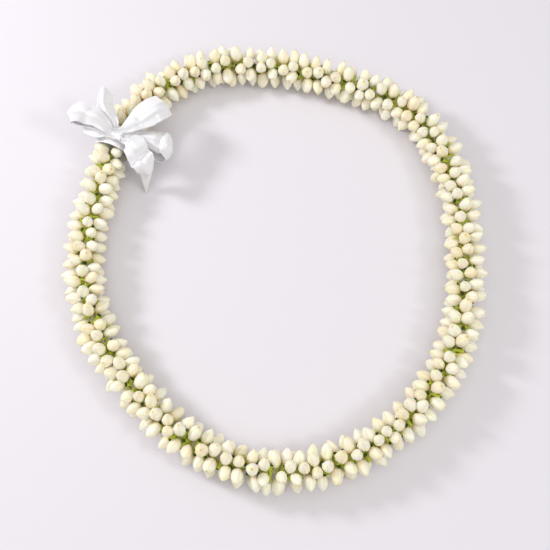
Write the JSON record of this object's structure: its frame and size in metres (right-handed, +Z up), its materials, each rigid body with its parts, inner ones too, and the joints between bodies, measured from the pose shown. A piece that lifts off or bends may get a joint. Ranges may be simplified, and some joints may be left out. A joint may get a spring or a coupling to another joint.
{
  "type": "flower lei",
  "caption": "Closed rope lei of jasmine buds threaded on a string and lying flat, with a white satin ribbon bow tied over the joint.",
  "frame": {"origin": "on the resting surface, under the middle of the lei's outer box", "axes": "+Z up from the surface, +Y along the lei's longer way towards its flatter top, +X to the right of that, with the bow at the -X +Y corner"},
  "size_m": [0.3492, 0.3935, 0.0522],
  "materials": {
    "bud_petal": "soft waxy cream petals, green at the tube",
    "thread": "matt waxed cotton",
    "satin": "white satin with a soft sheen"
  },
  "bodies": {
    "root": {"bud_cluster_01": "bud_petal", "bud_cluster_02": "bud_petal", "bud_cluster_03": "bud_petal", "bud_cluster_04": "bud_petal", "bud_cluster_05": "bud_petal", "bud_cluster_06": "bud_petal", "bud_cluster_07": "bud_petal", "bud_cluster_08": "bud_petal", "bud_cluster_09": "bud_petal", "bud_cluster_10": "bud_petal", "bud_cluster_11": "bud_petal", "bud_cluster_12": "bud_petal", "bud_cluster_13": "bud_petal", "bud_cluster_14": "bud_petal", "bud_cluster_15": "bud_petal", "bud_cluster_16": "bud_petal", "bud_cluster_17": "bud_petal", "bud_cluster_18": "bud_petal", "bud_cluster_19": "bud_petal", "bud_cluster_20": "bud_petal", "bud_cluster_21": "bud_petal", "bud_cluster_22": "bud_petal", "bud_cluster_23": "bud_petal", "bud_cluster_24": "bud_petal", "bud_cluster_25": "bud_petal", "bud_cluster_26": "bud_petal", "bud_cluster_27": "bud_petal", "bud_cluster_28": "bud_petal", "bud_cluster_29": "bud_petal", "bud_cluster_30": "bud_petal", "bud_cluster_31": "bud_petal", "bud_cluster_32": "bud_petal", "bud_cluster_33": "bud_petal", "bud_cluster_34": "bud_petal", "bud_cluster_35": "bud_petal", "bud_cluster_36": "bud_petal", "bud_cluster_37": "bud_petal", "bud_cluster_38": "bud_petal", "bud_cluster_39": "bud_petal", "bud_cluster_40": "bud_petal", "bud_cluster_41": "bud_petal", "bud_cluster_42": "bud_petal", "bud_cluster_43": "bud_petal", "bud_cluster_44": "bud_petal", "bud_cluster_45": "bud_petal", "bud_cluster_46": "bud_petal", "bud_cluster_47": "bud_petal", "bud_cluster_48": "bud_petal", "core_string": "thread", "string_knot": "thread", "ribbon_wrap": "satin", "ribbon_knot": "satin", "bow_loop_upper_right": "satin", "bow_loop_right": "satin", "bow_loop_left_upper": "satin", "bow_loop_left_lower": "satin", "ribbon_tail_upper": "satin", "ribbon_tail_lower": "satin"}
  },
  "joints": []
}
